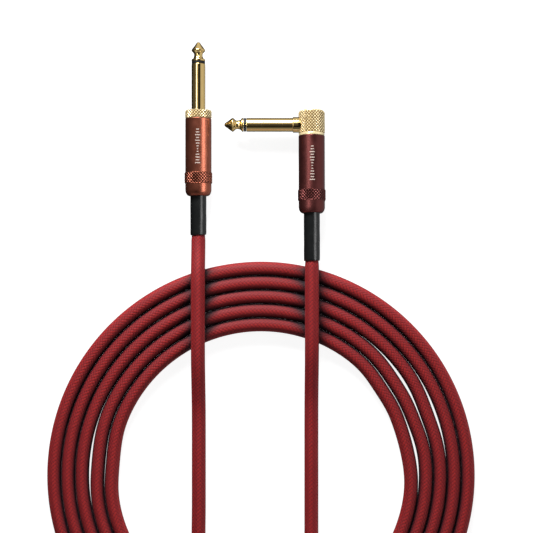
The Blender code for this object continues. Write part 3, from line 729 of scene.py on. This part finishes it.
def make_head(place, pin_place):
    """Knurled right-angle head with a polished neck and a threaded spigot, cut for the pin's seat."""
    knurl_top = HEAD_TOP - 0.55
    crown = [
        (COLLAR_R - 0.5 - 0.75 * (1 - math.sin(a)), HEAD_TOP - 0.5 * (1 - math.cos(a)))
        for a in np.linspace(0, math.pi / 2, 6)
    ]
    profile = [
        (0.0, HEAD_TOP),
        (2.0, HEAD_TOP),
        *crown,
        *knurl_rows(COLLAR_R, knurl_top, NECK_TOP, 0.3),
        (COLLAR_R - 0.4, NECK_TOP - 0.05),
        (NECK_R - 0.05, NECK_TOP - 0.05),
        (NECK_R, NECK_TOP - 0.2),
        (NECK_R, 0.1),
        (NECK_R - 0.1, 0.0),
        *thread_side(CAVITY_R),
        (CAVITY_R, HEAD_TOP - HEAD_WALL - 0.1),
        (CAVITY_R - 0.3, HEAD_TOP - HEAD_WALL),
        (0.0, HEAD_TOP - HEAD_WALL),
    ]
    relief = knurled(knurl_top, NECK_TOP, 0.0, SPIGOT_END + 0.2)
    look, facets = LOOKS["gold_knurl"], knurl_facets(COLLAR_R)
    head = lathe("angled_head_knurled", profile, place, look, facets, ring=False, relief=relief)
    inside = -PIN_FROM_AXIS
    for name, radius, depth in (
        ("cut_seat", STEP_RING_R + SEAM, inside + SPOT_FACE_X),
        ("cut_shank_hole", SHANK_R + SEAM, inside + CAVITY_R / 2),
    ):
        outline = [(0.0, 5.0), (radius, 5.0), (radius, depth), (0.0, depth)]
        cut(head, lathe(name, outline, pin_place, LOOKS["gold"], ring=False))
    finish(head, "cable", "gold_plate", "angled_head")


def make_barrel(prefix, place, look):
    """Barrel with its knurled grip band and rounded tail."""
    tail = [
        (BARREL_R - TAIL_ROUND_R * (1 - math.cos(a)), BARREL_END + TAIL_ROUND_LENGTH * (1 - math.sin(a)))
        for a in np.linspace(0, math.pi / 2, 12)
    ]
    profile = [
        (BORE_R, BARREL_FRONT - 0.15),
        (BORE_R + 0.15, BARREL_FRONT),
        (BARREL_R - 0.15, BARREL_FRONT),
        (BARREL_R - 0.05, BARREL_FRONT - 0.04),
        (BARREL_R, BARREL_FRONT - 0.15),
        (BARREL_R, BARREL_FRONT - 0.4),
        (BARREL_R, BAND_TOP + 0.02),
        *knurl_rows(BAND_R, BAND_TOP, BAND_BOTTOM, 0.38),
        (BARREL_R, BAND_BOTTOM - 0.02),
        *tail,
        (TAIL_HOLE_R + 0.1, BARREL_END),
        (TAIL_HOLE_R, BARREL_END + 0.1),
        (TAIL_HOLE_R, BORE_END),
        (BORE_R, BORE_END),
    ]
    relief = knurled(BAND_TOP - 0.3, BAND_BOTTOM + 0.3)
    facets = knurl_facets(BAND_R)
    barrel = lathe(f"{prefix}_barrel_turned", profile, place, LOOKS[look], facets, relief=relief)
    barrel.visible_glossy = False
    finish(barrel, f"{prefix}_barrel", look, f"{prefix}_barrel")


MARK_STRIPS = 13
MARK_COLUMNS = 9
MARK_TOP = -5.4
MARK_STEP = 1.28
MARK_WIDTH = 0.46
MARK_FOOT = -0.03  # from the barrel's side to the strips' inner side
MARK_THICKNESS = 0.045


def make_mark(prefix, place):
    """A pale sound-wave mark down the barrel: thin strips of different lengths, laid on its side.

    Each strip's half length is a slow swell times a quicker beat, both sines of its number. A strip
    is its rectangular outline carried round the barrel's axis, with its two ends closed.
    """
    number = np.arange(MARK_STRIPS)[:, None, None]
    beat = 0.4 + 0.6 * np.abs(np.sin(1.9 * number + 0.7))
    half = 0.25 + 0.95 * np.abs(np.sin(0.37 * number + 0.5)) * beat
    down, out = np.array([(0.0, 0.0), (0.0, 1.0), (1.0, 1.0), (1.0, 0.0)]).T
    turn = -math.pi / 2 + np.linspace(-1, 1, MARK_COLUMNS)[None, :, None] * half / BARREL_R
    radius = BARREL_R + MARK_FOOT + MARK_THICKNESS * out
    height = MARK_TOP - MARK_STEP * number - MARK_WIDTH * down
    spots = np.broadcast_arrays(radius * np.cos(turn), radius * np.sin(turn), height)
    local = np.stack(spots, axis=-1).reshape(-1, 3)
    strip, column, side = np.meshgrid(number, np.arange(MARK_COLUMNS - 1), np.arange(4), indexing="ij")
    start = 4 * (MARK_COLUMNS * strip + column)
    after = (side + 1) % 4
    around = np.stack([start + side, start + after, start + 4 + after, start + 4 + side], axis=-1)
    first = 4 * MARK_COLUMNS * number.reshape(-1, 1)
    ends = np.concatenate([first + [3, 2, 1, 0], first + 4 * (MARK_COLUMNS - 1) + [0, 1, 2, 3]])
    faces = [around.reshape(-1, 4), ends]
    uvs = [local[block][..., [0, 2]] * MM for block in faces]
    origin, directions = place
    world = (origin + local @ directions.T) * MM
    mark = build_mesh(f"{prefix}_barrel_mark", world, faces, uvs, LOOKS["mark"])
    finish(mark, f"{prefix}_barrel", None)


def make_heat_shrink(prefix, place, end):
    """Heat-shrink sleeve that hugs the cable: slightly uneven, with a soft lip drawn in at its end.

    Its radius wavers by a sum of sines of the turn and the height, and its open end by one of the turn.
    """
    outer = [
        (SHRINK_OUT_R - 0.05, SHRINK_TOP),
        (SHRINK_OUT_R, SHRINK_TOP - 0.05),
        *steps_between(SHRINK_OUT_R, SHRINK_TOP - 0.4, end + 1.2, 0.6),
        (SHRINK_OUT_R - 0.01, end + 0.8),
        (SHRINK_OUT_R - 0.04, end + 0.4),
        (SHRINK_OUT_R - 0.1, end + 0.12),
        (SHRINK_OUT_R - 0.2, end),
        (SHRINK_OUT_R - 0.4, end - 0.02),
        (SHRINK_LIP_R + 0.02, end + 0.06),
        (SHRINK_LIP_R, end + 0.3),
        (SHRINK_LIP_R + 0.07, end + 1.5),
        (SHRINK_IN_R, end + 3.0),
        (SHRINK_IN_R, SHRINK_TOP),
    ]

    def relief(radii, heights, facets):
        turn = np.arange(facets)[None, :] / facets * 2 * math.pi
        z = heights[:, None]
        waver = 0.5 * np.sin(3 * turn + 0.35 * z) + 0.3 * np.sin(7 * turn - 0.8 * z + 1.3)
        waver = waver + 0.4 * np.sin(0.9 * z + np.sin(2 * turn))
        shown = (radii[:, None] > SHRINK_IN_R + 0.2) * smooth_step((BARREL_END - z) / 2.0)
        return radii[:, None] + SHRINK_WAVER * waver * shown, np.zeros((len(radii) - 1, facets), int)

    made = lathe(f"{prefix}_heat_shrink_soft", outer, place, LOOKS["heat_shrink"], relief=relief)
    origin, directions = place
    co = np.empty(len(made.data.vertices) * 3)
    made.data.vertices.foreach_get("co", co)
    local = (co.reshape(-1, 3) / MM - origin) @ directions
    turn = np.arctan2(local[:, 1], local[:, 0])
    near_end = smooth_step((end + 3.0 - local[:, 2]) / 3.0)
    local[:, 2] += near_end * (0.16 * np.sin(turn + 0.8) + 0.07 * np.sin(3 * turn))
    made.data.vertices.foreach_set("co", ((origin + local @ directions.T) * MM).ravel())
    finish(made, "cable", "heat_shrink", f"{prefix}_heat_shrink")


# ---------------------------------------------------------------- cable

# The free stretches, in millimetres, from each heat-shrink to the coil
STRAIGHT_ROUTE = (
    (-26.25, -39.0, 6.45), (-26.25, -44.0, 6.81), (-26.25, -49.75, 8.33), (-26.25, -55.0, 9.75),
    (-26.25, -60.0, 10.2), (-26.25, -74.0, 10.2), (-26.25, -88.0, 10.2), (-26.25, -98.0, 9.33),
    (-26.25, -108.0, 6.73), (-26.25, -118.0, 4.12), (-26.25, -128.0, 3.3), (-26.25, -146.0, 3.3),
    (-26.25, -165.0, 3.3), (-26.25, -183.4, 3.3), (-24.3, -194.45, 3.3), (-18.7, -204.15, 3.3),
    (-10.1, -211.35, 3.3), (-6.05, -213.35, 3.3),
)
ANGLED_ROUTE = (
    (26.25, -50.9, 9.79), (26.25, -55.5, 10.02), (26.25, -61.0, 10.18), (26.25, -72.0, 10.2),
    (26.25, -84.0, 10.2), (26.25, -94.5, 9.33), (26.25, -104.5, 6.73), (26.25, -114.5, 4.12),
    (26.25, -125.0, 3.3), (26.25, -142.0, 3.3), (26.25, -158.0, 3.3), (26.25, -172.0, 3.3),
    (26.25, -182.0, 4.12), (26.25, -192.0, 6.73), (26.25, -202.0, 9.33), (25.0, -212.0, 10.2),
    (20.6, -222.9, 10.2), (12.3, -233.1, 10.2), (1.25, -240.3, 10.2), (-11.5, -243.7, 10.2),
    (-23.2, -243.3, 10.2), (-30.3, -241.4, 10.2),
)
COIL_CENTRE = (2.75, -150.6)
COIL_FIRST_R = 70.45
COIL_PITCH = 6.5
JOG_START = 250.0  # degrees: where each turn begins to step out to the next one
JOG_SWEEP = 70.0
COIL_START = 262.0
COIL_END = 2050.0
COIL_STEP = 0.4
TUCK = 0.8  # how far the first turn's start is drawn in, and over how many degrees
TUCK_SWEEP = 25.0
CLIMB_Z = 10.2  # the height of the cable's line where it lies on another turn
CLIMB_SWEEP = 35.0
# Where neighbouring turns part a little: middle and half width in degrees, gap, turns inside it
COIL_GAPS = ((34.5, 9.0, 1.4, 1), (20.0, 8.5, 1.2, 2), (9.0, 9.5, 1.25, 0), (175.0, 10.0, 1.1, 1))
CABLE_FACETS = 40
CABLE_STEP = 1.5
FINE_STEP = 0.5  # between points while the line is being worked out
KINK = 3.0  # kinks shorter than about this are smoothed away
SWELL = 2.5  # the length over which the jacket swells past a heat-shrink's end


def coil_points():
    """The coil's line: a circle whose radius grows by one pitch in each jog.

    The radius is the first turn's less a pitch, plus a pitch times a smooth step of the angle past
    each jog's start. The last turn climbs on its neighbour by a smooth step before it leaves. Each
    gap draws the turns inside it in by a bell of the angle.
    """
    angle = np.arange(COIL_START, COIL_END + 0.01, COIL_STEP)
    steps = sum(smooth_step((angle - JOG_START - 360 * k) / JOG_SWEEP) for k in range(5))
    radius = COIL_FIRST_R - COIL_PITCH + COIL_PITCH * steps
    radius -= TUCK * (1 - smooth_step((angle - COIL_START) / TUCK_SWEEP))
    for middle, half, gap, inside in COIL_GAPS:
        away = np.mod(angle - middle + 180, 360) - 180
        radius -= gap * np.exp(-((away / half) ** 2)) * smooth_step(inside + 1.75 - steps)
    climb = smooth_step((angle - COIL_END + CLIMB_SWEEP) / CLIMB_SWEEP)
    z = CABLE_R + (CLIMB_Z - CABLE_R) * climb
    turn = np.radians(angle)
    x, y = COIL_CENTRE[0] + radius * np.cos(turn), COIL_CENTRE[1] + radius * np.sin(turn)
    return np.stack([x, y, z], axis=-1)


def spaced(line, gap):
    """The same line with its points a gap apart, and its length."""
    run = np.concatenate([[0], np.cumsum(np.linalg.norm(np.diff(line, axis=0), axis=1))])
    at = np.linspace(0, run[-1], round(run[-1] / gap) + 1)
    return np.stack([np.interp(at, run, line[:, k]) for k in range(3)], axis=-1), run[-1]


def evened(points):
    """The line without its kinks: each point becomes its neighbours' mean, weighted by a bell."""
    line, _ = spaced(points, FINE_STEP)
    reach = int(3 * KINK / FINE_STEP)
    weights = np.exp(-0.5 * (np.arange(-reach, reach + 1) * FINE_STEP / KINK) ** 2)
    weights /= weights.sum()
    before = 2 * line[0] - line[reach:0:-1]
    after = 2 * line[-1] - line[-2 : -reach - 2 : -1]
    padded = np.concatenate([before, line, after])
    return np.stack([np.convolve(padded[:, k], weights, "valid") for k in range(3)], axis=-1)


def make_cable(straight, angled):
    """The whole cable as one tube along its line, 3 m long, from inside one barrel to inside the other.

    Rings of points a step apart, square to the line. The radius is the pressed jacket's inside the
    heat-shrinks, and swells to the free one just past their ends.
    """
    def inside(place, first, last):
        heights = np.linspace(first, last, 60)
        return place[0] + heights[:, None] * place[1][:, 2]

    line, length = spaced(
        evened(
            np.concatenate([
                inside(straight, JACKET_TOP, SHRINK_END_STRAIGHT),
                curve_through(STRAIGHT_ROUTE, FINE_STEP),
                coil_points(),
                curve_through(ANGLED_ROUTE, FINE_STEP)[::-1],
                inside(angled, SHRINK_END_ANGLED, JACKET_TOP),
            ])
        ),
        CABLE_STEP,
    )
    count = len(line)
    tangent = np.gradient(line, axis=0)
    tangent /= np.linalg.norm(tangent, axis=1)[:, None]
    side = np.cross(tangent, [0, 0, 1])
    side /= np.linalg.norm(side, axis=1)[:, None]
    up = np.cross(side, tangent)
    run = np.arange(count) * length / (count - 1)
    past_straight = run - (JACKET_TOP - SHRINK_END_STRAIGHT)
    before_angled = length - run - (JACKET_TOP - SHRINK_END_ANGLED)
    free = smooth_step(past_straight / SWELL) * smooth_step(before_angled / SWELL)
    radius = JACKET_R + (CABLE_R - JACKET_R) * free
    turn = np.arange(CABLE_FACETS)[None, :, None] / CABLE_FACETS * 2 * math.pi
    ring = radius[:, None, None] * (np.cos(turn) * up[:, None, :] + np.sin(turn) * side[:, None, :])
    points = np.concatenate([(line[:, None, :] + ring).reshape(-1, 3), line[:1], line[-1:]]) * MM
    i, j = np.meshgrid(np.arange(count - 1), np.arange(CABLE_FACETS), indexing="ij")
    corners, spots = [], []
    for di, dj in ((0, 0), (0, 1), (1, 1), (1, 0)):
        corners.append((i + di) * CABLE_FACETS + (j + dj) % CABLE_FACETS)
        spots.append(np.stack([(j + dj) / CABLE_FACETS, run[i + di] * MM], axis=-1))
    around = np.arange(CABLE_FACETS)
    following = (around + 1) % CABLE_FACETS
    middle = np.full(CABLE_FACETS, count * CABLE_FACETS)
    last = (count - 1) * CABLE_FACETS
    faces = [
        np.stack(corners, axis=-1).reshape(-1, 4),
        np.stack([middle, following, around], axis=-1),
        np.stack([middle + 1, last + around, last + following], axis=-1),
    ]
    ends_uv = np.zeros((CABLE_FACETS, 3, 2))
    uvs = [np.stack(spots, axis=2).reshape(-1, 4, 2), ends_uv, ends_uv]
    cable = build_mesh("cable_woven", points, faces, uvs, LOOKS["cable_jacket"], 60.0)
    finish(
        cable, "cable", "cable_jacket", "cable_run_straight", "cable_coil", "cable_run_angled",
        "straight_jacket_end", "angled_jacket_end",
    )
    return cable, line * MM, length * MM


# ---------------------------------------------------------------- put together

straight_place = axes(STRAIGHT_SHOULDER, STRAIGHT_TURN)
straight_pin_place = (straight_place[0] + COLLAR_TOP * straight_place[1][:, 2], straight_place[1])
angled_place = axes(ANGLED_SHOULDER, ANGLED_TURN)
angled_pin_place = axes(ANGLED_SHOULDER, ANGLED_TURN, side=True)

cable, centreline, cable_length = make_cable(straight_place, angled_place)
make_pin(
    "straight", straight_pin_place, STRAIGHT_RIVET_TOP,
    [
        (PIN_R, STRAIGHT_SHANK_TOP), (SHANK_R, STRAIGHT_SHANK_TOP),
        (SHANK_R, FLANGE_TOP), (FLANGE_R, FLANGE_TOP),
        (FLANGE_R, FLANGE_END), (SLEEVE_BORE_R, FLANGE_END),
    ],
)
ring_bottom = SPOT_FACE_X + SEAM - PIN_FROM_AXIS
make_pin(
    "angled", angled_pin_place, ANGLED_RIVET_TOP,
    [
        (PIN_R, 0.0, 0.1), (STEP_RING_R, 0.0, 0.2), (STEP_RING_R, ring_bottom), (SHANK_R, ring_bottom),
        (SHANK_R, ANGLED_SHANK_END), (SLEEVE_BORE_R, ANGLED_SHANK_END),
    ],
)
make_collar(straight_place)
make_head(angled_place, angled_pin_place)
make_barrel("straight", straight_place, "copper_barrel")
make_barrel("angled", angled_place, "maroon_barrel")
make_mark("straight", straight_place)
make_mark("angled", angled_place)
make_heat_shrink("straight", straight_place, SHRINK_END_STRAIGHT)
make_heat_shrink("angled", angled_place, SHRINK_END_ANGLED)

# The CAD nodes that stay take their finish from what they are made of
INSIDE_LOOKS = {
    "inner_insulator": "ivory_plastic", "rear_insulator": "ivory_plastic", "ground_lug": "tinned_brass",
    "tip_lug": "tinned_brass", "tip_solder": "solder", "ground_solder": "solder",
    "centre_conductor": "bare_copper", "conductor_insulation": "ivory_plastic",
    "shield_pigtail": "bare_copper", "liner": "liner_film",
}
for name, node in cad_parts.items():
    kind = name.split("_", 1)[1]
    if kind in INSIDE_LOOKS:
        node.data.materials.clear()
        node.data.materials.append(LOOKS[INSIDE_LOOKS[kind]])

# ---------------------------------------------------------------- stage

# In metres. AIM is the point of the floor that the lights face.
AIM = (0.0, -0.05)
FLOOR_REACH = 6.0
CAMERA_PLACE = (0.00533, -0.0532, 0.52125)


def flat_card(name, low, high, z, look):
    """A flat rectangle between two corners, facing up, with its material."""
    mesh = bpy.data.meshes.new(name)
    corners = [(low[0], low[1], z), (high[0], low[1], z), (high[0], high[1], z), (low[0], high[1], z)]
    mesh.from_pydata(corners, [], [(0, 1, 2, 3)])
    mesh.materials.append(look)
    made = bpy.data.objects.new(name, mesh)
    bpy.context.scene.collection.objects.link(made)
    return made


def make_floor():
    """A pale floor that glows a little, and that the pieces don't mirror."""
    look, n, shader = new_look(
        "pale_floor", Roughness=0.9, Specular_IOR_Level=0.1, Emission_Color=(1.0, 1.0, 1.0, 1.0),
        Emission_Strength=0.9,
    )
    grain = n.noise(object_place(n), 40.0, 3.0, 0.6)
    n.join(n.blend(grain, (0.3, 0.3, 0.3), (0.33, 0.33, 0.33)), shader.inputs["Base Color"])
    floor = flat_card("floor", (-FLOOR_REACH, -FLOOR_REACH), (FLOOR_REACH, FLOOR_REACH), 0, look)
    floor.visible_glossy = False
    floor.visible_diffuse = False
    return floor


def make_card(name, low, high, z):
    """A black card that hangs over the set and darkens one band of the reflections."""
    look, n, shader = new_look(name, Roughness=0.9)
    grain = n.noise(object_place(n), 30.0)
    n.join(n.blend(grain, (0.01, 0.01, 0.01), (0.02, 0.02, 0.02)), shader.inputs["Base Color"])
    card = flat_card(name, low, high, z, look)
    card.visible_diffuse = False
    card.visible_shadow = False
    return card


def make_light(name, place, size, radiance, pieces=()):
    """A soft rectangular light aimed at the set, of an even brightness, for all or only some pieces."""
    lamp = bpy.data.lights.new(name, "AREA")
    lamp.shape = "RECTANGLE"
    lamp.size, lamp.size_y = size
    lamp.energy = radiance * math.pi * size[0] * size[1]
    made = bpy.data.objects.new(name, lamp)
    bpy.context.scene.collection.objects.link(made)
    made.location = place
    made.visible_camera = False
    back = mathutils.Vector((place[0] - AIM[0], place[1] - AIM[1], place[2])).normalized()
    across = mathutils.Vector((0, 1, 0)).cross(back).normalized()
    made.rotation_euler = mathutils.Matrix((across, back.cross(across), back)).transposed().to_euler()
    if pieces:
        lit = bpy.data.collections.new(name + "_pieces")
        for piece in pieces:
            lit.objects.link(piece)
        made.light_linking.receiver_collection = lit


def make_surround():
    """The studio round the set: dim overhead, brighter right, far away and low in front, dark below."""
    world = bpy.data.worlds.new("studio")
    bpy.context.scene.world = world
    world.use_nodes = True
    n = Nodes(world.node_tree)
    split = n.put("ShaderNodeSeparateXYZ", {0: n.put("ShaderNodeTexCoord").outputs["Generated"]})
    x, y, z = (split.outputs[axis] for axis in "XYZ")
    right = n.ramp(x, 0.4, 0.8, 0.0, 0.56, smooth=True)
    low_down = n.ramp(z, 0.4, 0.1, 0.0, 0.6, smooth=True)
    near = n.math("MULTIPLY", n.ramp(y, -0.6, -0.9, smooth=True), low_down)
    far = n.ramp(y, 0.7, 0.95, 0.0, 0.7, smooth=True)
    level = n.math("ADD", n.math("ADD", right, near), n.math("ADD", far, 0.1))
    table = n.ramp(x, -0.5, 0.4, 0.35, 0.85, smooth=True)
    above = n.ramp(z, -0.25, 0.1, smooth=True)
    share = n.math("ADD", table, n.math("MULTIPLY", n.math("SUBTRACT", 1.0, table), above))
    background = world.node_tree.nodes["Background"]
    n.join(n.math("MULTIPLY", level, share), background.inputs["Strength"])
    background.inputs["Color"].default_value = (0.97, 0.98, 1.0, 1.0)


make_floor()
make_card("card_right", (0.065, -0.35), (0.40, 0.35), 0.64)
make_card("card_near", (-0.40, -0.56), (0.40, -0.18), 0.66)
pieces = {piece.name: piece for piece in bpy.context.scene.collection.objects if piece.type == "MESH"}
shiny = ("_tip_turned", "_ring_turned", "_sleeve_turned", "_knurled")
polished = [piece for name, piece in pieces.items() if name.endswith(shiny)]
left_lit = [*polished, pieces["angled_barrel_turned"]]
right_lit = [piece for name, piece in pieces.items() if name.endswith("_heat_shrink_soft")]
right_lit.append(pieces["straight_barrel_turned"])
make_light("key", (-0.12, 0.45, 0.31), (0.35, 0.16), 34.0)
make_light("strip_left", (-0.37, -0.1, 0.72), (0.24, 0.95), 3.8, left_lit)
make_light("soft_far", (0.02, 0.6, 0.75), (0.8, 0.6), 2.0, polished)
make_light("strip_right", (0.7, -0.05, 0.62), (0.34, 0.8), 6.6, right_lit)
make_surround()

lens = bpy.data.cameras.new("camera")
lens.lens = 75.0
lens.sensor_width = 36.0
lens.clip_start = 0.01
camera = bpy.data.objects.new("camera", lens)
bpy.context.scene.collection.objects.link(camera)
camera.location = CAMERA_PLACE
bpy.context.scene.camera = camera
bpy.context.scene.view_settings.view_transform = "Standard"
